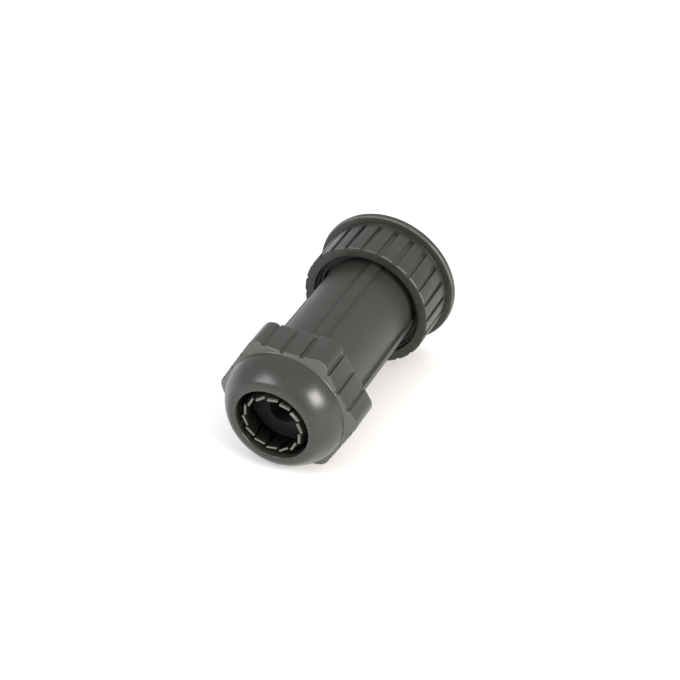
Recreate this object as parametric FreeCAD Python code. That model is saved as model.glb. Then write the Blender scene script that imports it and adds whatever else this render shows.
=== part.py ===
import FreeCAD, Part
import math
import os

# Weatherproof cable gland with a coupling ring, millimetres.
# It is modelled standing on its dome: z runs from the plane of the cable mouth (z = 0)
# to the back of the coupling ring. At the end every piece is laid down, so that the
# axis lies along +Y, the cable mouth looks along -Y and a flat of the nut faces down.

# Overall sizes
total_length = 55.9
across_flats = 27.0

# Gland nut
nut_length = 14.5
skirt_wall = 2.05
dome_height = 6.3
dome_round = 9.9
dome_foot_step = 0.55
dome_lip_width = 1.66
dome_lip_round = 2.0
mouth_step = 0.7
mouth_depth = 1.3
corner_round = 2.5
shoulder_angle = 65.0
nut_wall = 1.9
grip_groove_depth = 0.4
grip_groove_width = 0.85
grip_groove_pitch = 4.3
grip_groove_offset = -0.8

# Clamping thread between the housing and the nut, right-handed
thread_pitch = 1.5
thread_depth = 0.9
thread_root_width = 1.0
thread_crest_width = 0.4
thread_length = 5.6
thread_start_angle = 100.0

# Housing tube
tube_wall = 1.9
rib_count = 4
rib_width = 2.2
rib_height = 0.6
rib_first_angle = 10.2
socket_wall = 1.7
web_step = 1.1
web_thickness = 1.5
flange_thickness = 1.85
spigot_step = 0.1
spigot_length = 6.4

# Clamping claw
finger_count = 14
finger_first_angle = 2.4
finger_length = 5.75
finger_root_slot = 0.58
finger_root_thickness = 0.9
finger_tip_slot = 0.43
finger_tip_thickness = 0.42
finger_tip_twist = 14.0
finger_tip_z = 0.25
mouth_gap = 1.71
cage_wall = 1.0
cage_flange_thickness = 0.75
cage_flange_step = 0.4
cage_depth = 5.5
hinge_gap = 0.45
hinge_offset = 0.2

# Cable seal and pressure ring
cable_radius = 2.85
seal_nose_reach = 1.55
seal_nose_step = 0.63
seal_nose_length = 2.2
pressure_ring_thickness = 1.95
pressure_ring_lip = 0.5
claw_swing_room = 0.85
nut_travel_in = 1.125

# Coupling ring
ring_length = 12.2
ring_wall = 1.2
bead_thickness = 0.6
bead_grip = 1.0
lip_step = 0.6
lip_depth = 0.9
tooth_count = 24
tooth_first_angle = 27.0
tooth_gap = 1.1
tooth_depth_front = 0.35
tooth_depth_rear = 0.6
tooth_length = 9.5
undercut_length = 1.1
undercut_depth = 0.45
rim_width = 1.45
rim_round = 0.5
washer_thickness = 1.05
coupling_pitch = 2.0
coupling_depth = 0.6
coupling_width = 1.1
gasket_thickness = 1.2

# Clearances
running_fit = 0.1
thread_play = 0.1
face_gap = 0.05
loose_gap = 0.15
passing_gap = 0.2
edge = 0.3

# Radii, worked outwards and inwards from the flats of the nut
AXIS = FreeCAD.Vector(0, 0, 1)
flat_radius = across_flats / 2
corner_radius = flat_radius / math.cos(math.radians(30))
female_major = flat_radius - skirt_wall
male_crest = female_major - loose_gap
male_root = male_crest - thread_depth
female_minor = male_root + 2 * loose_gap
tube_radius = male_root - running_fit
rib_radius = tube_radius + rib_height
bore_radius = tube_radius - tube_wall
spigot_radius = tube_radius - spigot_step
web_radius = bore_radius - web_step
cage_outer_radius = male_root - socket_wall
cage_inner_radius = cage_outer_radius - cage_wall
cage_flange_radius = female_minor - cage_flange_step
mouth_radius = cage_outer_radius - mouth_step
pivot_radius = cage_outer_radius - cage_wall / 2
tip_radius = mouth_radius - mouth_gap - finger_tip_thickness / 2
seal_nose_radius = tip_radius - finger_tip_thickness / 2 + seal_nose_step
pressure_ring_radius = female_minor - running_fit
pressure_ring_front_radius = mouth_radius + pressure_ring_lip
pressure_ring_rear_radius = cage_outer_radius + claw_swing_room
bead_radius = male_crest + passing_gap
lip_radius = bead_radius + lip_step
flange_radius = bead_radius + bead_grip
coupling_minor = flange_radius + running_fit
ring_radius = coupling_minor + coupling_depth + ring_wall
rim_radius = ring_radius + rim_width

# The dome's arc passes through the edge of the lip and the foot of the shoulder
dome_lip_radius = mouth_radius + dome_lip_width
dome_foot_radius = flat_radius - dome_foot_step
dome_chord = math.hypot(dome_foot_radius - dome_lip_radius, dome_height)
dome_reach = math.sqrt(dome_round**2 - dome_chord**2 / 4) / dome_chord
dome_centre_radius = (dome_lip_radius + dome_foot_radius) / 2 - dome_reach * dome_height
dome_centre_z = dome_height / 2 + dome_reach * (dome_foot_radius - dome_lip_radius)

# Places along the axis
pivot_z = finger_tip_z + finger_length + hinge_offset
cage_front_z = finger_tip_z + finger_length + hinge_gap
seal_front_z = cage_front_z - seal_nose_reach
housing_front_z = cage_front_z + cage_flange_thickness + face_gap
cage_rear_z = housing_front_z + cage_depth
seat_z = cage_rear_z + running_fit
male_thread_z = housing_front_z + face_gap + thread_pitch / 2
pressure_ring_front_z = cage_front_z - nut_travel_in - loose_gap - pressure_ring_thickness
ring_front_z = total_length - ring_length
pocket_z = ring_front_z + lip_depth + bead_thickness
flange_front_z = pocket_z + washer_thickness + 2 * face_gap
flange_rear_z = flange_front_z + flange_thickness


def turned(points):
    """A solid of revolution about the axis, from its half section as (radius, z) points."""
    corners = [FreeCAD.Vector(radius, 0, z) for radius, z in points]
    face = Part.Face(Part.makePolygon(corners + corners[:1]))
    return face.revolve(FreeCAD.Vector(0, 0, 0), AXIS, 360)


def tube(inner, outer, front, rear):
    """A plain ring or tube."""
    return turned([(inner, front), (outer, front), (outer, rear), (inner, rear)])


def eased_tube(inner, outer, front, rear, ease):
    """A ring whose four edges are eased by a small chamfer."""
    return turned(
        [
            (inner, front + ease),
            (inner + ease, front),
            (outer - ease, front),
            (outer, front + ease),
            (outer, rear - ease),
            (outer - ease, rear),
            (inner + ease, rear),
            (inner, rear - ease),
        ]
    )


def at_angle(shape, angle):
    """Turns a shape made on the +X side to an angle, counted from the top towards +X."""
    turned_shape = shape.copy()
    turned_shape.rotate(FreeCAD.Vector(0, 0, 0), AXIS, angle - 90)
    return turned_shape


def around(shape, first_angle, count):
    """Copies of a shape, evenly spaced around the axis."""
    return [at_angle(shape, first_angle + 360 / count * n) for n in range(count)]


def helical_bar(root, crest, root_width, crest_width, pitch, front, length):
    """A right-handed helical bar of trapezoid section, from radius root to radius crest."""
    half_root = root_width / 2
    half_crest = crest_width / 2
    section = Part.makePolygon(
        [
            FreeCAD.Vector(root, 0, front - half_root),
            FreeCAD.Vector(crest, 0, front - half_crest),
            FreeCAD.Vector(crest, 0, front + half_crest),
            FreeCAD.Vector(root, 0, front + half_root),
            FreeCAD.Vector(root, 0, front - half_root),
        ]
    )
    helix = Part.makeHelix(pitch, length, root)
    helix.translate(FreeCAD.Vector(0, 0, front))
    bar = Part.Wire(helix).makePipeShell([section], True, True)
    bar.rotate(FreeCAD.Vector(0, 0, 0), AXIS, thread_start_angle)
    return bar


def thread_bar(play, front, length):
    """The clamping thread's ridge, or with play the groove that it runs in."""
    slope = (thread_root_width - thread_crest_width) / thread_depth
    sunk = male_root - loose_gap
    crest = male_crest + (loose_gap if play else 0)
    wide = thread_root_width + slope * (male_root - sunk) + 2 * play
    narrow = thread_root_width - slope * (crest - male_root) + 2 * play
    return helical_bar(sunk, crest, wide, narrow, thread_pitch, front, length)


def hexagon_bar(front, rear):
    """A hexagonal bar with rounded corners and one corner on the +X side."""
    corners = [
        FreeCAD.Vector(
            corner_radius * math.cos(math.radians(60 * n)),
            corner_radius * math.sin(math.radians(60 * n)),
            front,
        )
        for n in range(7)
    ]
    bar = Part.Face(Part.makePolygon(corners)).extrude(AXIS * (rear - front))
    upright = [e for e in bar.Edges if abs(e.tangentAt(e.FirstParameter).z) > 0.9]
    return bar.makeFillet(corner_round, upright)


def dome_blank():
    """The outside of the nut before its flats: lip, dome, shoulder cone and skirt."""
    reach = dome_round - dome_lip_round
    lip_centre = dome_centre_radius + math.sqrt(reach**2 - (dome_centre_z - dome_lip_round) ** 2)
    lean = math.atan2(lip_centre - dome_centre_radius, dome_centre_z - dome_lip_round)
    steep = math.acos((dome_centre_z - dome_height) / dome_round)

    def on_arc(centre_radius, centre_z, arc_radius, angle):
        return FreeCAD.Vector(
            centre_radius + arc_radius * math.sin(angle), 0, centre_z - arc_radius * math.cos(angle)
        )

    def arc(centre_radius, centre_z, arc_radius, start, stop):
        middle = (start + stop) / 2
        spots = [on_arc(centre_radius, centre_z, arc_radius, a) for a in (start, middle, stop)]
        return Part.Arc(*spots).toShape()

    outside = corner_radius + 1
    shoulder = (outside - dome_foot_radius) / math.tan(math.radians(shoulder_angle))
    corners = [
        FreeCAD.Vector(dome_foot_radius, 0, dome_height),
        FreeCAD.Vector(outside, 0, dome_height + shoulder),
        FreeCAD.Vector(outside, 0, nut_length),
        FreeCAD.Vector(0, 0, nut_length),
        FreeCAD.Vector(0, 0, 0),
        FreeCAD.Vector(lip_centre, 0, 0),
    ]
    edges = [
        arc(lip_centre, dome_lip_round, dome_lip_round, 0, lean),
        arc(dome_centre_radius, dome_centre_z, dome_round, lean, steep),
    ]
    edges += [Part.makeLine(a, b) for a, b in zip(corners, corners[1:])]
    face = Part.Face(Part.Wire(Part.__sortEdges__(edges)))
    return face.revolve(FreeCAD.Vector(0, 0, 0), AXIS, 360)


def grip_cutters():
    """Three channels cut along each flat of the nut, for the grip of the fingers."""
    cutters = []
    for n in (-1, 0, 1):
        cutter = Part.makeBox(
            grip_groove_depth + 2,
            grip_groove_width,
            nut_length,
            FreeCAD.Vector(
                flat_radius - grip_groove_depth,
                n * grip_groove_pitch + grip_groove_offset - grip_groove_width / 2,
                dome_height - 1,
            ),
        )
        cutters += around(cutter, 0, 6)
    return cutters


def gland_nut():
    """Domed hexagon nut: it screws on the housing and presses the claw shut."""
    nut = dome_blank().common(hexagon_bar(-1, nut_length))
    nut = nut.cut(grip_cutters())
    seat = pressure_ring_front_z - face_gap
    pocket = female_minor + running_fit
    thread_front = pressure_ring_front_z + pressure_ring_thickness + nut_wall
    relief = nut_length - nut_wall
    hollow = turned(
        [
            (0, -1),
            (mouth_radius + 1 + edge, -1),
            (mouth_radius, edge),
            (mouth_radius, mouth_depth),
            (pressure_ring_front_radius, mouth_depth + edge),
            (pressure_ring_front_radius, seat),
            (pocket, seat),
            (pocket, thread_front - edge),
            (female_minor, thread_front),
            (female_minor, relief - edge),
            (female_major + loose_gap, relief),
            (female_major + loose_gap, nut_length - edge),
            (female_major + loose_gap + 1 + edge, nut_length + 1),
            (0, nut_length + 1),
        ]
    )
    groove_front = male_thread_z - thread_pitch
    groove_rear = relief + thread_root_width / 2 + thread_play
    groove = thread_bar(thread_play, groove_front, groove_rear - groove_front)
    return nut.cut(hollow).cut(groove)


def pressure_ring():
    """Slip ring in the dome: it turns the nut's push into a straight push on the claw."""
    front = pressure_ring_front_z
    rear = front + pressure_ring_thickness
    return turned(
        [
            (pressure_ring_front_radius, front),
            (pressure_ring_radius - edge, front),
            (pressure_ring_radius, front + edge),
            (pressure_ring_radius, rear),
            (pressure_ring_rear_radius, rear),
            (pressure_ring_front_radius, front + pressure_ring_thickness / 2),
        ]
    )


def claw_finger():
    """One finger of the claw on the +X side: a blade whose tip is twisted to shingle."""

    def section(radius, z, width, thickness, twist):
        corners = [(-1, -1), (1, -1), (1, 1), (-1, 1), (-1, -1)]
        wire = Part.makePolygon(
            [FreeCAD.Vector(a * thickness / 2, b * width / 2, 0) for a, b in corners]
        )
        wire.rotate(FreeCAD.Vector(0, 0, 0), AXIS, twist)
        wire.translate(FreeCAD.Vector(radius, 0, z))
        return wire

    sector = 2 * math.pi / finger_count
    root_width = sector * pivot_radius - finger_root_slot
    tip_width = sector * tip_radius - finger_tip_slot
    root_z = finger_tip_z + finger_length
    root = section(pivot_radius, root_z, root_width, finger_root_thickness, 0)
    tip = section(tip_radius, finger_tip_z, tip_width, finger_tip_thickness, finger_tip_twist)
    return Part.makeLoft([root, tip], True, True)


def claw_cage():
    """Base of the claw: a sleeve round the seal, with a flange on the housing's mouth."""
    inner = cage_inner_radius
    flange_rear = cage_front_z + cage_flange_thickness
    return turned(
        [
            (inner, cage_front_z),
            (cage_flange_radius - edge, cage_front_z),
            (cage_flange_radius, cage_front_z + edge),
            (cage_flange_radius, flange_rear),
            (cage_outer_radius, flange_rear),
            (cage_outer_radius, cage_rear_z),
            (inner, cage_rear_z),
        ]
    )


def cable_seal():
    """Rubber bush that closes on the cable: a tapered nose in front, a flat seat behind."""
    outer = cage_inner_radius - running_fit
    rear = seat_z - face_gap
    return turned(
        [
            (cable_radius, seal_front_z + edge),
            (cable_radius + edge, seal_front_z),
            (seal_nose_radius - edge, seal_front_z),
            (seal_nose_radius, seal_front_z + edge),
            (outer, seal_front_z + seal_nose_length),
            (outer, rear),
            (cable_radius + edge, rear),
            (cable_radius, rear - edge),
        ]
    )


def housing_tube():
    """Housing: thread and seal seat in front, ribbed tube, flange and spigot behind."""
    rear_z = flange_rear_z + spigot_length
    thread_end = housing_front_z + thread_length + thread_pitch / 2
    body = turned(
        [
            (0, housing_front_z),
            (male_root - edge, housing_front_z),
            (male_root, housing_front_z + edge),
            (male_root, thread_end),
            (tube_radius, thread_end + edge),
            (tube_radius, flange_front_z),
            (flange_radius, flange_front_z),
            (flange_radius, flange_rear_z),
            (spigot_radius, flange_rear_z),
            (spigot_radius, rear_z - edge),
            (spigot_radius - edge, rear_z),
            (0, rear_z),
        ]
    )
    rib_front = nut_length - edge
    rib = Part.makeBox(
        rib_radius,
        rib_width,
        flange_front_z + edge - rib_front,
        FreeCAD.Vector(0, -rib_width / 2, rib_front),
    )
    ribs = around(rib, rib_first_angle, rib_count)
    ridge = thread_bar(0, male_thread_z, thread_length - thread_pitch)
    limit = tube(0, rib_radius, rib_front, flange_front_z + edge)
    ribbed = body.fuse([r.common(limit) for r in ribs] + [ridge])
    sleeve_bore = cage_outer_radius + face_gap
    bore = turned(
        [
            (0, housing_front_z - 1),
            (sleeve_bore, housing_front_z - 1),
            (sleeve_bore, seat_z),
            (web_radius, seat_z),
            (web_radius, seat_z + web_thickness),
            (bore_radius, seat_z + web_thickness + edge),
            (bore_radius, rear_z - edge),
            (bore_radius + 1 + edge, rear_z + 1),
            (0, rear_z + 1),
        ]
    )
    return ribbed.cut(bore)


def slip_washer():
    """Thrust washer between the coupling ring's bead and the housing's flange."""
    front = pocket_z + face_gap
    return tube(rib_radius + running_fit, flange_radius, front, front + washer_thickness)


def coupling_gasket():
    """Flat rubber gasket on the housing's flange, round the spigot."""
    outer = flange_radius - loose_gap
    return eased_tube(
        spigot_radius + face_gap, outer, flange_rear_z, flange_rear_z + gasket_thickness, edge
    )


def tooth_cutters():
    """Grooves along the coupling ring, a little deeper towards the rim."""
    front = ring_front_z - 1
    rear = ring_front_z + tooth_length
    floor_front = ring_radius - tooth_depth_front
    floor_rear = ring_radius - tooth_depth_rear
    side = Part.makePolygon(
        [
            FreeCAD.Vector(floor_front, -tooth_gap / 2, front),
            FreeCAD.Vector(ring_radius + 1, -tooth_gap / 2, front),
            FreeCAD.Vector(ring_radius + 1, -tooth_gap / 2, rear),
            FreeCAD.Vector(floor_rear, -tooth_gap / 2, rear),
            FreeCAD.Vector(floor_front, -tooth_gap / 2, front),
        ]
    )
    groove = Part.Face(side).extrude(FreeCAD.Vector(0, tooth_gap, 0))
    return around(groove, tooth_first_angle, tooth_count)


def coupling_ring():
    """Union ring: it turns and slides on the tube and screws on the mating socket."""
    teeth_end = ring_front_z + tooth_length
    rim_front = teeth_end + undercut_length
    neck = ring_radius - undercut_depth
    thread_front = flange_rear_z + gasket_thickness
    ring = turned(
        [
            (lip_radius + edge, ring_front_z),
            (ring_radius - edge, ring_front_z),
            (ring_radius, ring_front_z + edge),
            (ring_radius, teeth_end),
            (neck, teeth_end),
            (neck, rim_front),
            (rim_radius - rim_round, rim_front),
            (rim_radius, rim_front + rim_round),
            (rim_radius, total_length - rim_round),
            (rim_radius - rim_round, total_length),
            (coupling_minor + edge, total_length),
            (coupling_minor, total_length - edge),
            (coupling_minor, pocket_z),
            (bead_radius, pocket_z),
            (bead_radius, pocket_z - bead_thickness + edge / 2),
            (lip_radius, pocket_z - bead_thickness - edge / 2),
            (lip_radius, ring_front_z + edge),
        ]
    )
    groove = helical_bar(
        coupling_minor - loose_gap,
        coupling_minor + coupling_depth,
        coupling_width,
        coupling_width / 2,
        coupling_pitch,
        thread_front,
        total_length - thread_front + coupling_pitch,
    )
    return ring.cut(tooth_cutters()).cut(groove)


def laid_down(shape):
    """Turns the axis to +Y and puts the origin on the floor under the middle."""
    laid = shape.copy()
    laid.rotate(FreeCAD.Vector(0, 0, 0), FreeCAD.Vector(1, 0, 0), -90)
    laid.translate(FreeCAD.Vector(0, -total_length / 2, rim_radius))
    return laid


def save(name, shape):
    """Writes one piece, laid down, to its own file."""
    laid_down(shape).exportStep("parts/" + name + ".step")


os.makedirs("parts", exist_ok=True)
save("housing_tube", housing_tube())
save("claw_cage", claw_cage())
save("cable_seal", cable_seal())
save("pressure_ring", pressure_ring())
save("gland_nut", gland_nut())
save("slip_washer", slip_washer())
save("coupling_ring", coupling_ring())
save("coupling_gasket", coupling_gasket())
for number, finger in enumerate(around(claw_finger(), finger_first_angle, finger_count), 1):
    save("claw_finger_" + str(number).zfill(2), finger)
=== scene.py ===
import math

import bpy
import numpy as np
from mathutils import Matrix, Vector


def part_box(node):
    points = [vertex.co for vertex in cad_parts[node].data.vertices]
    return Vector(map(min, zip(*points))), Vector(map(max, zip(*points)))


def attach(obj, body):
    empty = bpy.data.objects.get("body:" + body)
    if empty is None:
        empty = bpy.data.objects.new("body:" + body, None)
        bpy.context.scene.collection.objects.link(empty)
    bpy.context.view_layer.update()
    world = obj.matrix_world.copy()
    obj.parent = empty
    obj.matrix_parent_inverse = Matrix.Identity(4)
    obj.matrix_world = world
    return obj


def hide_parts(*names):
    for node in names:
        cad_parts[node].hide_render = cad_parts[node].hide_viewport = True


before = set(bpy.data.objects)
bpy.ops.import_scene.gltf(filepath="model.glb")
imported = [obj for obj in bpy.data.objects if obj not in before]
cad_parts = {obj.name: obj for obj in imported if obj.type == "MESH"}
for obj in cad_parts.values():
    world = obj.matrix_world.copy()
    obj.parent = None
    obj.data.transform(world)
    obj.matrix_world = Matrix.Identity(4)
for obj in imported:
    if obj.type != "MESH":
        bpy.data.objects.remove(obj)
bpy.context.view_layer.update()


# Housing tube: the glass-filled nylon moulding that carries everything else. Its front is threaded
# for the nut and holds the seal, four ribs run along the tube, and behind them come the flange that
# stops the coupling ring and the spigot that enters the socket.

MM = 0.001
AXIS_HEIGHT = (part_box("coupling_ring")[0][2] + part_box("coupling_ring")[1][2]) / 2
MOUTH_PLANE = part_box("gland_nut")[0][1]

HOUSING_FRONT = 7.25
HOUSING_ROOT = 10.4
THREAD_END = 13.6
HOUSING_TUBE = 10.3
HOUSING_BORE = 8.4
FLANGE_FRONT = 46.35
FLANGE_REAR = 48.2
FLANGE_RADIUS = 12.5
SPIGOT_RADIUS = 10.2
SPIGOT_END = 54.6
SEAT = 12.85
WEB_RADIUS = 7.3
SLEEVE_BORE = 8.75
RIB_HEIGHT = 0.6
RIB_WIDTH = 2.2
RIB_FRONT = 14.2
RIB_ANGLES = (10.2, 100.2, 190.2, 280.2)
RIB_EASE = 0.1
THREAD_PITCH = 1.5
THREAD_TURN = 190.0
THREAD_FIRST = 8.05
THREAD_LAST = 12.15
THREAD_HALF = 0.5
THREAD_FLANK = 3
THREAD_DEPTH = 0.9


def even_columns(count):
    """Angles of the columns of a turned piece, evenly spaced."""
    return np.arange(count) * 360.0 / count


def with_edges(columns, edges, spread):
    """Moves the columns nearest to each edge angle, so that they stand at the spread's offsets."""
    moved = columns.copy()
    step = columns[1] - columns[0]
    for edge in edges:
        first = int(math.floor((edge % 360) / step)) - len(spread) // 2 + 1
        for number, offset in enumerate(spread):
            moved[(first + number) % len(moved)] = (edge + offset) % 360
    return moved


def rounded_outline(corners, segments=4):
    """Points of a closed outline from its corners (radius, place, round, rows to the next)."""
    points = []
    spots = [Vector(corner[:2]) for corner in corners]
    for number, (_, _, ease, rows) in enumerate(corners):
        spot = spots[number]
        back = (spots[number - 1] - spot).normalized()
        ahead = (spots[(number + 1) % len(spots)] - spot).normalized()
        if ease:
            middle = (back + ahead).normalized()
            centre = spot + middle * (ease / middle.dot(back))
            start = spot + back * ease - centre
            stop = spot + ahead * ease - centre
            for step in range(segments + 1):
                way = start.normalized().slerp(stop.normalized(), step / segments)
                points.append(centre + way * start.length)
        else:
            points.append(spot)
        if rows:
            here = points[-1].copy()
            after = spots[(number + 1) % len(spots)]
            ease_after = corners[(number + 1) % len(spots)][2]
            there = after + (spot - after).normalized() * ease_after
            points += [here.lerp(there, n / rows) for n in range(1, rows)]
    return points


def turned(name, corners, columns, shape=None, segments=4):
    """Turns an outline round the axis; shape gives the radius from radius, angle and place."""
    bpy.ops.object.select_all(action="DESELECT")
    bpy.ops.mesh.primitive_plane_add(size=MM, location=(0, 0, 0))
    piece = bpy.context.object
    piece.name = name
    points = rounded_outline(corners, segments)
    bpy.ops.object.mode_set(mode="EDIT")
    bpy.ops.mesh.merge(type="CENTER")
    first = points[0]
    bpy.ops.transform.translate(value=(0, MOUTH_PLANE + first.y * MM, AXIS_HEIGHT + first.x * MM))
    for here, there in zip(points, points[1:]):
        step = (there - here) * MM
        bpy.ops.mesh.extrude_region_move(TRANSFORM_OT_translate={"value": (0, step.y, step.x)})
    bpy.ops.object.mode_set(mode="OBJECT")
    for end in (0, len(points) - 1):
        piece.data.vertices[end].select = True
    bpy.ops.object.mode_set(mode="EDIT")
    bpy.ops.mesh.edge_face_add()
    bpy.ops.mesh.select_all(action="SELECT")
    bpy.ops.mesh.spin(
        steps=len(columns), angle=math.tau, center=(0, 0, AXIS_HEIGHT), axis=(0, 1, 0)
    )
    bpy.ops.mesh.select_all(action="SELECT")
    bpy.ops.mesh.remove_doubles(threshold=MM / 1000)
    bpy.ops.mesh.normals_make_consistent(inside=False)
    bpy.ops.object.mode_set(mode="OBJECT")
    place_columns(piece, columns, shape)
    return piece


def place_columns(piece, columns, shape):
    """Puts each column of a turned piece at its own angle and gives it its shape."""
    spots = np.empty(len(piece.data.vertices) * 3)
    piece.data.vertices.foreach_get("co", spots)
    spots = spots.reshape(-1, 3)
    up = spots[:, 2] - AXIS_HEIGHT
    radius = np.hypot(spots[:, 0], up) / MM
    column = np.rint(np.degrees(np.arctan2(spots[:, 0], up)) / 360 * len(columns)).astype(int)
    angle = columns[column % len(columns)]
    place = (spots[:, 1] - MOUTH_PLANE) / MM
    if shape:
        radius = shape(radius, angle, place)
    spots[:, 0] = radius * MM * np.sin(np.radians(angle))
    spots[:, 2] = AXIS_HEIGHT + radius * MM * np.cos(np.radians(angle))
    piece.data.vertices.foreach_set("co", spots.ravel())
    piece.data.update()


def smooth(piece, degrees):
    """Shades a piece smooth, apart from its edges sharper than an angle."""
    bpy.ops.object.select_all(action="DESELECT")
    piece.select_set(True)
    bpy.context.view_layer.objects.active = piece
    bpy.ops.object.shade_smooth_by_angle(angle=math.radians(degrees))


def from_thread(angle, place, first, pitch):
    """How far a place lies from the middle of the nearest thread turn, and where that middle is."""
    turns = (place - first) / pitch - (angle - THREAD_TURN) / 360
    away = (turns - np.rint(turns)) * pitch
    return np.abs(away), place - away


def across(angle, lines, radius):
    """Distance round the piece from the nearest of several lines, given by their angles."""
    gaps = [np.abs((angle - line + 180) % 360 - 180) for line in lines]
    return np.radians(np.minimum.reduce(gaps)) * radius


def housing_shape(radius, angle, place):
    """Adds the nut's thread and the four ribs to the turned tube."""
    away, middle = from_thread(angle, place, THREAD_FIRST, THREAD_PITCH)
    outside = radius > SPIGOT_RADIUS - 0.2
    on_thread = outside & (middle >= THREAD_FIRST) & (middle <= THREAD_LAST)
    ridge = np.clip((THREAD_HALF - away) * THREAD_FLANK, 0, THREAD_DEPTH)
    radius = np.where(on_thread, radius + ridge, radius)
    beside = across(angle, RIB_ANGLES, HOUSING_TUBE) - RIB_WIDTH / 2
    within = np.clip(-beside, 0, RIB_EASE)
    past = np.clip(beside, 0, RIB_EASE)
    crown = RIB_HEIGHT - RIB_EASE + np.sqrt(RIB_EASE**2 - (RIB_EASE - within) ** 2)
    fillet = RIB_EASE - np.sqrt(RIB_EASE**2 - (RIB_EASE - past) ** 2)
    rib = np.where(beside <= 0, crown, fillet)
    on_tube = outside & (place > RIB_FRONT) & (place < FLANGE_FRONT - 0.05)
    return np.where(on_tube & (radius < HOUSING_TUBE + 0.3), radius + rib, radius)


class Wire:
    """A shader socket. A sum, difference or product of wires and numbers adds a Math node."""

    def __init__(self, finish, socket):
        self.finish = finish
        self.socket = socket

    def with_other(self, operation, first, second):
        """Joins two values, wires or numbers, with a Math node."""
        return self.finish.node("Math", {"operation": operation}, {0: first, 1: second})

    def __add__(self, other):
        return self.with_other("ADD", self, other)

    def __sub__(self, other):
        return self.with_other("SUBTRACT", self, other)

    def __rsub__(self, other):
        return self.with_other("SUBTRACT", other, self)

    def __mul__(self, other):
        return self.with_other("MULTIPLY", self, other)

    __radd__ = __add__
    __rmul__ = __mul__


class Finish:
    """A material and its Principled shader, whose plain values are set by name."""

    def __init__(self, name, **values):
        self.material = bpy.data.materials.new(name)
        self.material.use_nodes = True
        self.shader = self.material.node_tree.nodes["Principled BSDF"]
        for socket, value in values.items():
            self.shader.inputs[socket.replace("_", " ")].default_value = value

    def node(self, kind, settings, inputs, output=0):
        """Adds a node, sets it up, and gives one of its outputs as a wire."""
        node = self.material.node_tree.nodes.new("ShaderNode" + kind)
        for setting, value in settings.items():
            setattr(node, setting, value)
        for socket, value in inputs.items():
            self.feed(node.inputs[socket], value)
        return Wire(self, node.outputs[output])

    def feed(self, socket, value):
        """Links a wire to a socket, or sets the socket to a plain value."""
        if isinstance(value, Wire):
            self.material.node_tree.links.new(value.socket, socket)
        else:
            socket.default_value = value

    def noise(self, scale, detail=3.0, rough=0.5):
        """A cloudy pattern fixed to the piece, with scale in patches per metre."""
        place = self.node("TexCoord", {}, {}, "Object")
        values = {"Vector": place, "Scale": scale, "Detail": detail, "Roughness": rough}
        return self.node("TexNoise", {}, values, "Fac")

    def blend(self, amount, low, high):
        """A colour between two, by an amount from 0 to 1."""
        values = {"Factor": amount, 6: low, 7: high}
        return self.node("Mix", {"data_type": "RGBA"}, values, 2)

    def bump(self, height, strength, depth):
        """Feeds a height pattern to the shader's normal; depth in metres."""
        values = {"Strength": strength, "Distance": depth, "Height": height}
        self.feed(self.shader.inputs["Normal"], self.node("Bump", {}, values, "Normal"))

    def place(self):
        """The distance behind the plane of the mouth, in millimetres."""
        spot = self.node("TexCoord", {}, {}, "Object")
        along = self.node("SeparateXYZ", {}, {"Vector": spot}, "Y")
        return (along - MOUTH_PLANE) * (1 / MM)

    def radius(self):
        """The distance from the axis, in millimetres."""
        spot = self.node("TexCoord", {}, {}, "Object")
        axis = (0, 0, AXIS_HEIGHT)
        centred = self.node("VectorMath", {"operation": "SUBTRACT"}, {0: spot, 1: axis}, "Vector")
        across_axis = {0: centred, 1: (1, 0, 1)}
        flat = self.node("VectorMath", {"operation": "MULTIPLY"}, across_axis, "Vector")
        return self.node("VectorMath", {"operation": "LENGTH"}, {0: flat}, "Value") * (1 / MM)

    def near(self, value, level, reach):
        """Is 1 where a value is at a level, and fades to 0 within a reach on both sides."""
        away = self.node("Math", {"operation": "ABSOLUTE"}, {0: value - level})
        limits = {"Value": away, "From Min": 0.0, "From Max": reach, "To Min": 1.0, "To Max": 0.0}
        return self.node("MapRange", {"interpolation_type": "SMOOTHSTEP"}, limits, "Result")

    def overlay(self, amount, colour):
        """Covers the base colour with another one, by an amount from 0 to 1."""
        base = self.shader.inputs["Base Color"]
        under = Wire(self, base.links[0].from_socket)
        self.feed(base, self.blend(amount, under, colour))

    def on(self, piece):
        """Gives a piece this material alone."""
        piece.data.materials.clear()
        piece.data.materials.append(self.material)


def grey(level, tint=(0.98, 1.06, 0.88)):
    """An opaque dark grey of the moulding's slightly green cast."""
    return (level * tint[0], level * tint[1], level * tint[2], 1.0)


def moulded(name, dark, light, gloss, grain, mottle):
    """Moulded nylon: mottled colour, a fine grain, and gloss that varies with both."""
    finish = Finish(name, IOR=1.45)
    fine = finish.noise(grain, 4.0, 0.6)
    cloud = finish.noise(grain / 14, 2.0)
    amount = fine * mottle + cloud * (1.3 - mottle) - 0.15
    finish.feed(finish.shader.inputs["Base Color"], finish.blend(amount, grey(dark), grey(light)))
    finish.feed(finish.shader.inputs["Roughness"], fine * 0.16 + cloud * 0.1 + (gloss - 0.13))
    finish.bump(finish.noise(grain * 2.2, 2.0), 0.35, 0.02 * MM)
    return finish


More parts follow.
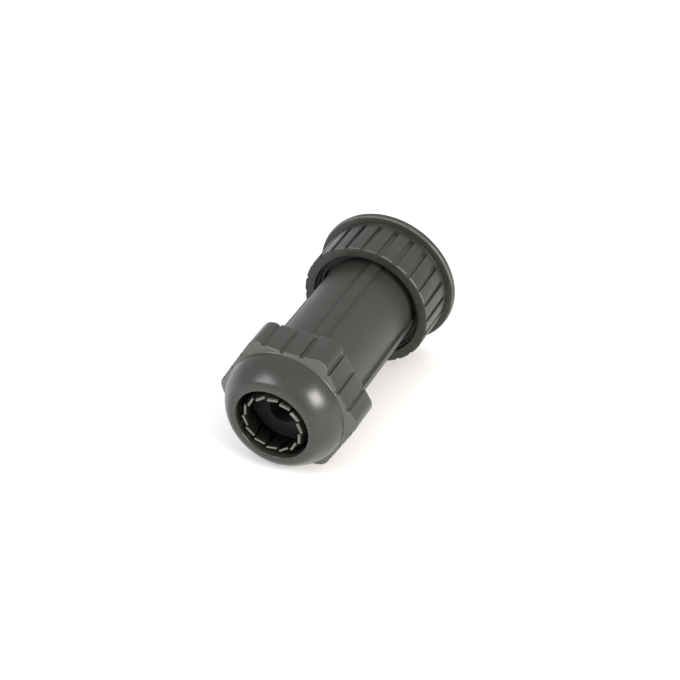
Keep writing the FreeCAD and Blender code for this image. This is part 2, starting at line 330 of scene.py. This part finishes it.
rib_half = math.degrees(RIB_WIDTH / 2 / HOUSING_TUBE)
rib_sides = [line + side * rib_half for line in RIB_ANGLES for side in (-1, 1)]
housing = turned(
    "housing_tube_body",
    [
        (SLEEVE_BORE, HOUSING_FRONT, 0.1, 0),
        (HOUSING_ROOT, HOUSING_FRONT, 0.3, 56),
        (HOUSING_ROOT, THREAD_END, 0, 0),
        (HOUSING_TUBE, THREAD_END + 0.3, 0, 0),
        (HOUSING_TUBE, RIB_FRONT, 0, 0),
        (HOUSING_TUBE, RIB_FRONT + 0.03, 0, 0),
        (HOUSING_TUBE, FLANGE_FRONT - 0.12, 0, 0),
        (HOUSING_TUBE, FLANGE_FRONT, 0, 0),
        (FLANGE_RADIUS, FLANGE_FRONT, 0.12, 0),
        (FLANGE_RADIUS, FLANGE_REAR, 0.12, 0),
        (SPIGOT_RADIUS, FLANGE_REAR, 0.1, 0),
        (SPIGOT_RADIUS, SPIGOT_END, 0.3, 0),
        (HOUSING_BORE, SPIGOT_END, 0.3, 0),
        (HOUSING_BORE, SEAT + 1.8, 0, 0),
        (WEB_RADIUS, SEAT + 1.5, 0.15, 0),
        (WEB_RADIUS, SEAT, 0.15, 0),
        (SLEEVE_BORE, SEAT, 0, 0),
    ],
    with_edges(even_columns(480), rib_sides, (-1.0, -0.5, -0.2, 0, 0.2, 0.6)),
    housing_shape,
)
smooth(housing, 45)
housing_plastic = moulded("housing_nylon", dark=0.016, light=0.036, gloss=0.46, grain=2200, mottle=0.9)
housing_plastic.on(housing)
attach(housing, "housing")
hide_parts("housing_tube")


# Gland nut: a domed hexagon cap of the same nylon, screwed on the housing by its inner thread. Its
# flats take a 27 mm wrench, and three channels along each flat give the fingers a grip.

FLAT_RADIUS = 13.5
CORNER_ROUND = 2.5
NUT_LENGTH = 14.5
NUT_MOUTH = 8.0
LIP_ROUND = 2.0
DOME_HEIGHT = 6.3
DOME_ROUND = 9.9
DOME_FOOT = 12.95
DOME_LIP = 9.66
SHOULDER = math.tan(math.radians(65))
GRIP_PLACES = (-5.1, -0.8, 3.5)
GRIP_WIDTH = 0.85
GRIP_DEPTH = 0.4
GRIP_EASE = 0.13
REAR_ROUND = 0.35
FEMALE_MINOR = 10.7
GROOVE_DEPTH = 0.75
GROOVE_FRONT = 6.15
THREAD_FRONT = 7.075
NUT_RELIEF = 12.6
RELIEF_RADIUS = 11.6
POCKET_RADIUS = 10.8
POCKET_FRONT = 3.175
POCKET_MOUTH = 8.5
WALL_MIDDLE = 12.4
BLANK_RADIUS = 16.5


def softer_least(first, second, soft):
    """The smaller of two radii, rounded where they meet."""
    overlap = np.maximum(soft - np.abs(first - second), 0)
    return np.minimum(first, second) - overlap**2 / (4 * soft)


def hexagon_radius(angle):
    """Radius of the nut's hexagon with its rounded corners and grip channels."""
    turn = np.radians((angle + 30) % 60 - 30)
    along = FLAT_RADIUS * np.tan(turn)
    cut = np.zeros_like(along)
    for place in GRIP_PLACES:
        inward = (GRIP_WIDTH / 2 - np.abs(along - place)) / (2 * GRIP_EASE) + 0.5
        inward = np.clip(inward, 0, 1)
        cut += GRIP_DEPTH * inward**2 * (3 - 2 * inward)
    flat = (FLAT_RADIUS - cut) / np.cos(turn)
    reach = (FLAT_RADIUS - CORNER_ROUND) / math.cos(math.radians(30))
    aside = math.radians(30) - np.abs(turn)
    inside = np.maximum(CORNER_ROUND**2 - (reach * np.sin(aside)) ** 2, 0)
    corner = reach * np.cos(aside) + np.sqrt(inside)
    past = math.atan((FLAT_RADIUS - CORNER_ROUND) * math.tan(math.radians(30)) / FLAT_RADIUS)
    return np.where(np.abs(turn) > past, corner, flat)


def nut_shape(radius, angle, place):
    """Cuts the turned cap to its hexagon, and runs the thread round its inside."""
    outside = radius > WALL_MIDDLE
    hexagon = softer_least(radius, hexagon_radius(angle), 0.3)
    past_rear = np.clip(place - (NUT_LENGTH - REAR_ROUND), 0, REAR_ROUND)
    hexagon = hexagon - REAR_ROUND + np.sqrt(REAR_ROUND**2 - past_rear**2)
    away, _ = from_thread(angle, place, THREAD_FIRST, THREAD_PITCH)
    groove = FEMALE_MINOR + np.clip((THREAD_HALF - away) * THREAD_FLANK, 0, GROOVE_DEPTH)
    inside = (radius > FEMALE_MINOR - 0.03) & (radius < POCKET_RADIUS + 0.03)
    threaded = inside & (place > GROOVE_FRONT + 0.1) & (place < NUT_RELIEF)
    return np.where(outside, hexagon, np.where(threaded, np.maximum(radius, groove), radius))


chord = math.hypot(DOME_FOOT - DOME_LIP, DOME_HEIGHT)
centre_share = math.sqrt(DOME_ROUND**2 - chord**2 / 4) / chord
dome_aside = (DOME_LIP + DOME_FOOT) / 2 - centre_share * DOME_HEIGHT
dome_middle = DOME_HEIGHT / 2 + centre_share * (DOME_FOOT - DOME_LIP)
lip_reach = math.sqrt((DOME_ROUND - LIP_ROUND) ** 2 - (dome_middle - LIP_ROUND) ** 2)
lip_middle = dome_aside + lip_reach
lip_lean = math.atan2(lip_reach, dome_middle - LIP_ROUND)
dome_lean = math.acos((dome_middle - DOME_HEIGHT) / DOME_ROUND)


def dome_outline():
    """The lip's round and the dome, as corners from the foot of the shoulder to the mouth."""
    corners = [(DOME_FOOT, DOME_HEIGHT, 0.22, 0)]
    for lean in np.linspace(dome_lean, lip_lean, 20)[1:]:
        across_dome = dome_aside + DOME_ROUND * math.sin(lean)
        corners.append((across_dome, dome_middle - DOME_ROUND * math.cos(lean), 0, 0))
    for lean in np.linspace(lip_lean, 0, 8)[1:]:
        across_lip = lip_middle + LIP_ROUND * math.sin(lean)
        corners.append((across_lip, LIP_ROUND - LIP_ROUND * math.cos(lean), 0, 0))
    return corners


shoulder_end = DOME_HEIGHT + (BLANK_RADIUS - DOME_FOOT) / SHOULDER
grip_walls = [
    60 * side + math.degrees(math.atan((place + half * GRIP_WIDTH / 2) / FLAT_RADIUS))
    for side in range(6)
    for place in GRIP_PLACES
    for half in (-1, 1)
]
nut = turned(
    "gland_nut_cap",
    [
        (NUT_MOUTH, 0, 0.3, 0),
        (NUT_MOUTH, 1.3, 0, 0),
        (POCKET_MOUTH, 1.6, 0, 0),
        (POCKET_MOUTH, POCKET_FRONT, 0, 0),
        (POCKET_RADIUS, POCKET_FRONT, 0, 0),
        (POCKET_RADIUS, GROOVE_FRONT, 0, 6),
        (POCKET_RADIUS, THREAD_FRONT - 0.3, 0, 3),
        (FEMALE_MINOR, THREAD_FRONT, 0, 50),
        (FEMALE_MINOR, NUT_RELIEF - 0.3, 0, 0),
        (RELIEF_RADIUS, NUT_RELIEF, 0, 0),
        (RELIEF_RADIUS, NUT_LENGTH - 0.3, 0, 0),
        (RELIEF_RADIUS + 0.3, NUT_LENGTH, 0, 0),
    ]
    + [(BLANK_RADIUS, NUT_LENGTH - step, 0, 0) for step in (0, 0.05, 0.13, 0.22, REAR_ROUND)]
    + [(BLANK_RADIUS, shoulder_end, 0, 30)]
    + dome_outline(),
    with_edges(even_columns(720), grip_walls, (-0.58, -0.2, 0.2, 0.58)),
    nut_shape,
)
smooth(nut, 38)
nut_plastic = moulded("nut_nylon", dark=0.018, light=0.032, gloss=0.27, grain=2600, mottle=0.6)
# Painted highlight: the shoulder band between the dome and the flats is made paler, standing in for
# the light its forward-facing slope catches.
cone = nut_plastic.radius() - (nut_plastic.place() - DOME_HEIGHT) * SHOULDER
nut_plastic.overlay(nut_plastic.near(cone, DOME_FOOT, 0.35) * 0.8, grey(0.075))
nut_plastic.on(nut)
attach(nut, "gland_nut")
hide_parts("gland_nut")


# Claw: one springy nylon moulding, a sleeve round the seal with fourteen fingers bent inwards. The
# fingers are separate pieces here, each on its own hinge at the root, and their twisted tips
# slide over each other like shingles as the nut closes them on the cable.

CAGE_FRONT = 6.45
CAGE_OUTER = 8.7
CAGE_INNER = 7.7
CAGE_FLANGE = 10.3
CAGE_FLANGE_REAR = 7.2
CAGE_REAR = 12.75
FINGER_COUNT = 14
FINGER_FIRST = 2.4
FINGER_ROOT_RADIUS = 8.2
FINGER_ROOT_PLACE = 6.0
FINGER_TIP_RADIUS = 6.08
FINGER_TIP_PLACE = 0.25
FINGER_ROOT_SLOT = 0.58
FINGER_TIP_SLOT = 0.43
FINGER_ROOT_WALL = 0.9
FINGER_TIP_WALL = 0.42
FINGER_TWIST = 14.0

cage = turned(
    "claw_sleeve",
    [
        (CAGE_INNER, CAGE_FRONT, 0.12, 0),
        (CAGE_FLANGE, CAGE_FRONT, 0.25, 0),
        (CAGE_FLANGE, CAGE_FLANGE_REAR, 0.1, 0),
        (CAGE_OUTER, CAGE_FLANGE_REAR, 0, 0),
        (CAGE_OUTER, CAGE_REAR, 0.15, 0),
        (CAGE_INNER, CAGE_REAR, 0.15, 0),
    ],
    even_columns(168),
)
smooth(cage, 40)
claw_plastic = moulded("claw_nylon", dark=0.008, light=0.014, gloss=0.27, grain=1500, mottle=0.5)
# Painted highlight: the fingers' tips and front end faces near the mouth are made paler, standing in
# for the light they catch.
claw_plastic.overlay(claw_plastic.near(claw_plastic.place(), 0.2, 0.6), grey(0.1))
claw_plastic.on(cage)
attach(cage, "housing")
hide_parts("claw_cage")


def finger_blank():
    """One finger at the top of the circle: a tapered, twisted blade with soft edges."""
    bpy.ops.object.select_all(action="DESELECT")
    bpy.ops.mesh.primitive_cube_add(size=2, location=(0, 0, 0))
    blank = bpy.context.object
    bpy.ops.object.mode_set(mode="EDIT")
    bpy.ops.mesh.subdivide(number_cuts=7)
    bpy.ops.object.mode_set(mode="OBJECT")
    sector = math.tau / FINGER_COUNT
    root_width = sector * FINGER_ROOT_RADIUS - FINGER_ROOT_SLOT
    tip_width = sector * FINGER_TIP_RADIUS - FINGER_TIP_SLOT
    for vertex in blank.data.vertices:
        side, along, out = vertex.co
        toward_tip = (1 - along) / 2
        width = root_width + (tip_width - root_width) * toward_tip
        wall = FINGER_ROOT_WALL + (FINGER_TIP_WALL - FINGER_ROOT_WALL) * toward_tip
        radius = FINGER_ROOT_RADIUS + (FINGER_TIP_RADIUS - FINGER_ROOT_RADIUS) * toward_tip
        turn = math.radians(FINGER_TWIST) * toward_tip
        sideways = side * width / 2 * math.cos(turn) - out * wall / 2 * math.sin(turn)
        outward = side * width / 2 * math.sin(turn) + out * wall / 2 * math.cos(turn)
        place = FINGER_ROOT_PLACE + (FINGER_TIP_PLACE - FINGER_ROOT_PLACE) * toward_tip
        vertex.co = (sideways * MM, MOUTH_PLANE + place * MM, AXIS_HEIGHT + (radius + outward) * MM)
    soft = blank.modifiers.new("soft_edges", "BEVEL")
    soft.width = 0.09 * MM
    soft.segments = 3
    soft.limit_method = "ANGLE"
    soft.angle_limit = math.radians(50)
    bpy.ops.object.modifier_apply(modifier=soft.name)
    smooth(blank, 40)
    return blank


blank = finger_blank()
for number in range(FINGER_COUNT):
    node = "claw_finger_" + str(number + 1).zfill(2)
    finger = blank.copy()
    finger.data = blank.data.copy()
    finger.name = "claw_blade_" + str(number + 1).zfill(2)
    bpy.context.collection.objects.link(finger)
    turn = math.radians(FINGER_FIRST + 360 / FINGER_COUNT * number)
    centre = Matrix.Translation((0, 0, AXIS_HEIGHT))
    finger.data.transform(centre @ Matrix.Rotation(turn, 4, "Y") @ centre.inverted())
    claw_plastic.on(finger)
    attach(finger, node)
    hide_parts(node)
bpy.data.objects.remove(blank)


# Cable seal: a thick bush of soft black rubber inside the claw's sleeve. Its tapered nose looks out
# of the mouth, and its hole closes on the cable when the fingers are squeezed.

SEAL_HOLE = 2.85
SEAL_RADIUS = 7.6
SEAL_FRONT = 4.9
SEAL_REAR = 12.8
NOSE_RADIUS = 6.5
NOSE_LENGTH = 2.2

seal = turned(
    "cable_seal_bush",
    [
        (SEAL_HOLE, SEAL_FRONT, 0.3, 0),
        (NOSE_RADIUS, SEAL_FRONT, 0.35, 0),
        (SEAL_RADIUS, SEAL_FRONT + NOSE_LENGTH, 0.3, 0),
        (SEAL_RADIUS, SEAL_REAR, 0.15, 0),
        (SEAL_HOLE, SEAL_REAR, 0.3, 0),
    ],
    even_columns(160),
    segments=6,
)
smooth(seal, 50)


def rubber(name, dark, light, gloss, dust):
    """Moulded rubber: matt, with a pale bloom in patches and a fine skin."""
    finish = Finish(name, IOR=1.33)
    bloom = finish.noise(dust, 5.0, 0.6)
    skin = finish.noise(dust * 5, 2.0)
    colour = finish.blend(bloom * 1.4 - 0.2, grey(dark), grey(light))
    finish.feed(finish.shader.inputs["Base Color"], colour)
    finish.feed(finish.shader.inputs["Roughness"], skin * 0.2 + bloom * 0.15 + (gloss - 0.17))
    finish.bump(skin, 0.4, 0.03 * MM)
    return finish


seal_rubber = rubber("seal_rubber_black", dark=0.004, light=0.011, gloss=0.72, dust=500)
seal_rubber.on(seal)
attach(seal, "housing")
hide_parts("cable_seal")


# Pressure ring: a loose acetal ring between the nut's dome and the fingers. It doesn't turn with
# the nut, so the fingers are pushed straight inwards and aren't dragged round.

SLIP_INNER = 8.5
SLIP_OUTER = 10.6
SLIP_CONE = 9.55
SLIP_FRONT = 3.225
SLIP_CONE_FRONT = 4.2
SLIP_REAR = 5.175

pressure_ring = turned(
    "pressure_ring_slip",
    [
        (SLIP_INNER, SLIP_FRONT, 0.08, 0),
        (SLIP_OUTER, SLIP_FRONT, 0.3, 0),
        (SLIP_OUTER, SLIP_REAR, 0.1, 0),
        (SLIP_CONE, SLIP_REAR, 0.08, 0),
        (SLIP_INNER, SLIP_CONE_FRONT, 0.08, 0),
    ],
    even_columns(168),
)
smooth(pressure_ring, 40)
washer_acetal = moulded("washer_acetal", dark=0.012, light=0.022, gloss=0.3, grain=3000, mottle=0.3)
washer_acetal.on(pressure_ring)
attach(pressure_ring, "pressure_ring")
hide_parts("pressure_ring")


# Coupling ring: the union that pulls the plug into its socket. It is turned and slid along the tube
# by hand, by its 24 lands, and has a plain rim at the back and a coarse thread inside.

RING_FRONT = 43.7
RING_RADIUS = 14.4
RIM_RADIUS = 15.85
RING_END = 55.9
TEETH_END = 53.2
RIM_FRONT = 54.3
NECK_RADIUS = 13.95
RING_BORE = 12.6
POCKET_PLACE = 45.2
BEAD_RADIUS = 11.5
LIP_RADIUS = 12.1
TOOTH_COUNT = 24
TOOTH_FIRST = 27.0
TOOTH_GAP = 1.1
TOOTH_EASE = 0.14
TOOTH_DEPTH_FRONT = 0.35
TOOTH_DEPTH_REAR = 0.6
COUPLING_FIRST = 49.4
COUPLING_PITCH = 2.0
COUPLING_HALF = 0.55
COUPLING_FLANK = 2.18
COUPLING_DEPTH = 0.6

tooth_angles = [(TOOTH_FIRST + 360 / TOOTH_COUNT * number) % 360 for number in range(TOOTH_COUNT)]


def ring_columns():
    """Columns of the ring: close together at the sides of each groove between two lands."""
    half = math.degrees(TOOTH_GAP / 2 / RING_RADIUS)
    in_groove = [half * 0.45, half * 0.8, half]
    on_land = [half + step for step in (0.06, 0.22, 0.5, 0.9, 2.0)]
    near = in_groove + on_land
    offsets = sorted([-step for step in near] + [0] + near + [6.0, 7.5, 9.0])
    return np.array(sorted((line + step) % 360 for line in tooth_angles for step in offsets))


def ring_shape(radius, angle, place):
    """Sinks the grooves between the lands, and the coupling thread inside."""
    beside = across(angle, tooth_angles, RING_RADIUS) - TOOTH_GAP / 2
    edge = np.clip(beside, 0, TOOTH_EASE)
    land = RING_RADIUS - TOOTH_EASE + np.sqrt(TOOTH_EASE**2 - (TOOTH_EASE - edge) ** 2)
    toward_rim = (place - RING_FRONT) / (TEETH_END - RING_FRONT)
    deeper = (TOOTH_DEPTH_REAR - TOOTH_DEPTH_FRONT) * toward_rim
    floor = RING_RADIUS - TOOTH_DEPTH_FRONT - deeper
    top = np.where(beside <= 0.001, floor, land)
    on_teeth = (radius > RING_BORE + 0.6) & (place < TEETH_END + 0.01)
    away, middle = from_thread(angle, place, COUPLING_FIRST, COUPLING_PITCH)
    cut = np.clip((COUPLING_HALF - away) * COUPLING_FLANK, 0, COUPLING_DEPTH)
    inside = (np.abs(radius - RING_BORE) < 0.02) & (middle >= COUPLING_FIRST)
    return np.where(on_teeth, np.minimum(radius, top), np.where(inside, radius + cut, radius))


ring = turned(
    "coupling_ring_union",
    [
        (LIP_RADIUS, RING_FRONT, 0.28, 0),
        (RING_RADIUS, RING_FRONT, 0.3, 0),
        (RING_RADIUS, TEETH_END, 0, 0),
        (NECK_RADIUS, TEETH_END + 0.02, 0, 0),
        (NECK_RADIUS, RIM_FRONT, 0.1, 0),
        (RIM_RADIUS, RIM_FRONT, 0.5, 0),
        (RIM_RADIUS, RING_END, 0.5, 0),
        (RING_BORE, RING_END, 0.25, 40),
        (RING_BORE, COUPLING_FIRST - 1, 0, 0),
        (RING_BORE, POCKET_PLACE, 0, 0),
        (BEAD_RADIUS, POCKET_PLACE, 0.08, 0),
        (BEAD_RADIUS, POCKET_PLACE - 0.55, 0.08, 0),
        (LIP_RADIUS, POCKET_PLACE - 0.8, 0.1, 0),
    ],
    ring_columns(),
    ring_shape,
)
smooth(ring, 38)
ring_plastic = moulded("ring_nylon", dark=0.016, light=0.034, gloss=0.36, grain=2400, mottle=0.6)
# Painted highlights: thin pale lines on the rim's front outer edge and on the lands' front edges,
# broken up by a noise.
highlight_breakup = ring_plastic.noise(260, 2.0) * 2.4 - 0.6
rim_edge_place = ring_plastic.near(ring_plastic.place(), RIM_FRONT + 0.18, 0.3)
rim_edge_radius = ring_plastic.near(ring_plastic.radius(), RIM_RADIUS - 0.15, 0.3)
ring_plastic.overlay(rim_edge_place * rim_edge_radius * highlight_breakup, grey(0.11))
land_edge_place = ring_plastic.near(ring_plastic.place(), RING_FRONT + 0.1, 0.3)
land_edge_radius = ring_plastic.near(ring_plastic.radius(), RING_RADIUS - 0.05, 0.25)
ring_plastic.overlay(land_edge_place * land_edge_radius * highlight_breakup, grey(0.12))
ring_plastic.on(ring)
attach(ring, "coupling_ring")
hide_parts("coupling_ring")


# Slip washer: a thin acetal washer between the ring's bead and the housing's flange, so that the
# ring turns easily while it pulls.

WASHER_INNER = 11.0
WASHER_FRONT = 45.25
WASHER_REAR = 46.3

washer = turned(
    "slip_washer_disc",
    [
        (WASHER_INNER, WASHER_FRONT, 0.08, 0),
        (FLANGE_RADIUS, WASHER_FRONT, 0.12, 0),
        (FLANGE_RADIUS, WASHER_REAR, 0.12, 0),
        (WASHER_INNER, WASHER_REAR, 0.08, 0),
    ],
    even_columns(168),
)
smooth(washer, 40)
washer_acetal.on(washer)
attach(washer, "slip_washer")
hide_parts("slip_washer")


# Coupling gasket: a flat ring of soft black rubber, pushed over the spigot against the flange. The
# socket's face presses on it when the coupling ring is screwed on.

GASKET_INNER = 10.25
GASKET_OUTER = 12.35
GASKET_REAR = 49.4
GASKET_ROUND = 0.28

gasket = turned(
    "coupling_gasket_ring",
    [
        (GASKET_INNER, FLANGE_REAR, GASKET_ROUND, 0),
        (GASKET_OUTER, FLANGE_REAR, GASKET_ROUND, 0),
        (GASKET_OUTER, GASKET_REAR, GASKET_ROUND, 0),
        (GASKET_INNER, GASKET_REAR, GASKET_ROUND, 0),
    ],
    even_columns(168),
)
smooth(gasket, 50)
gasket_rubber = rubber("gasket_rubber_black", dark=0.01, light=0.02, gloss=0.55, dust=700)
gasket_rubber.on(gasket)
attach(gasket, "housing")
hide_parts("coupling_gasket")


# Setting: the gland lies on a white table, on its rim and on the front edge of the nut's lowest
# flat, under a white tent, with a warm soft lamp on the right and a weaker, cooler one on the left.

RIM_CONTACT = 55.0
rim_rest = Vector((0, MOUTH_PLANE + RIM_CONTACT * MM, 0))
flat_front = DOME_HEIGHT + (FLAT_RADIUS - DOME_FOOT) / SHOULDER
nut_rest = Vector((0, MOUTH_PLANE + flat_front * MM, AXIS_HEIGHT - FLAT_RADIUS * MM))
lean = math.atan2(nut_rest.z - rim_rest.z, nut_rest.y - rim_rest.y)
bpy.ops.object.select_all(action="DESELECT")
bpy.ops.mesh.primitive_plane_add(size=8, location=rim_rest, rotation=(math.pi + lean, 0, 0))
table = bpy.context.object
table.name = "table_top"
table_white = Finish("table_white", Roughness=0.9)
table_white.feed(table_white.shader.inputs["Base Color"], (0.92, 0.92, 0.92, 1))
table_white.on(table)

world = bpy.data.worlds.new("white_tent")
world.use_nodes = True
world.node_tree.nodes["Background"].inputs["Color"].default_value = (1, 1, 1, 1)
world.node_tree.nodes["Background"].inputs["Strength"].default_value = 1.0
bpy.context.scene.world = world


def lamp(name, spot, size, watts, colour):
    """A square soft lamp aimed at the middle of the gland."""
    bpy.ops.object.light_add(type="AREA", location=spot)
    light = bpy.context.object
    light.name = name
    light.data.size = size
    light.data.energy = watts
    light.data.color = colour
    aim = Vector((0, 0, AXIS_HEIGHT)) - Vector(spot)
    light.rotation_euler = aim.to_track_quat("-Z", "Y").to_euler()


lamp("lamp_right", (0.519, -0.156, 0.311), 0.25, 4.2, (1.0, 0.95, 0.9))
lamp("lamp_left", (-0.318, -0.375, 0.399), 0.3, 2.1, (0.93, 0.98, 1.0))

bpy.ops.object.camera_add(location=(0.1250, -0.2576, 0.2388))
camera = bpy.context.object
right = Vector((0.9018, 0.4321, 0.0))
upward = Vector((-0.2642, 0.5515, 0.7913))
camera.rotation_euler = Matrix((right, upward, right.cross(upward))).transposed().to_euler()
camera.data.lens = 92.7
camera.data.sensor_width = 36.0
camera.data.clip_start = 0.01
bpy.context.scene.camera = camera
bpy.context.scene.view_settings.view_transform = "Standard"
